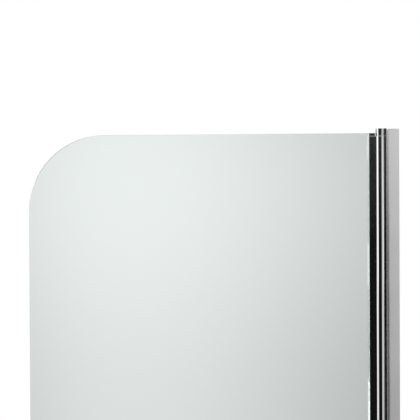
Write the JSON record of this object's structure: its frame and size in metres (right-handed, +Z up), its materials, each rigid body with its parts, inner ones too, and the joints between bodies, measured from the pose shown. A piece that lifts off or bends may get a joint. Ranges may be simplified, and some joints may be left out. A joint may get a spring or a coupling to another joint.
{
  "type": "bath screen",
  "caption": "Pivoting bath screen: clear glass leaf with one round top corner, on a bright hinge tube, a sliding post and a wall channel.",
  "frame": {"origin": "on the wall face of the wall channel, in the middle of its width, at the height of the bath rim", "axes": "+Z up, +X into the wall, so the screen reaches to -X; -Y is the dry side that the picture shows, +Y the bath side"},
  "size_m": [0.8, 0.0289, 1.4],
  "materials": {
    "bright_aluminium": "bright polished and anodised, with a chrome look",
    "satin_aluminium": "satin anodised, drawn lines along its length",
    "chromed_zinc": "chrome plated casting",
    "chromed_plastic": "chrome plated moulding",
    "stainless_steel": "turned",
    "nylon": "moulded, grey",
    "black_rubber": "matt",
    "clear_pvc": "clear and soft",
    "clear_glass": "toughened, polished edges"
  },
  "bodies": {
    "wall_frame": {"wall_channel": "satin_aluminium", "wall_channel_cap": "chromed_plastic", "clamp_screws": "stainless_steel", "clamp_nut_plates": "stainless_steel", "clamp_screw_covers": "chromed_plastic"},
    "hinge_post": {"post_profile": "bright_aluminium", "post_seal_front": "black_rubber", "post_seal_rear": "black_rubber", "hinge_cap_top": "chromed_zinc", "hinge_cap_bottom": "chromed_zinc", "hinge_cap_screws_top": "stainless_steel", "hinge_cap_screws_bottom": "stainless_steel", "pivot_pin_top": "stainless_steel", "pivot_pin_bottom": "stainless_steel", "thrust_washers": "nylon"},
    "leaf": {"leaf_profile": "bright_aluminium", "pivot_bush_top": "nylon", "pivot_bush_bottom": "nylon", "glass_panel": "clear_glass", "glass_gasket_front": "clear_pvc", "glass_gasket_rear": "clear_pvc", "glass_setting_blocks": "black_rubber", "glass_channel_cap_top": "chromed_plastic", "glass_channel_cap_bottom": "chromed_plastic", "bottom_seal": "clear_pvc"}
  },
  "joints": [
    {"name": "wall_adjust", "type": "slide", "parent": "wall_frame", "child": "hinge_post", "axis": [-1, 0, 0], "range_m": [0, 0.012]},
    {"name": "leaf_swing", "type": "hinge", "parent": "hinge_post", "child": "leaf", "pos_m": [-0.0395, 0, 0], "axis": [0, 0, 1], "range_deg": [-90, 90]}
  ]
}
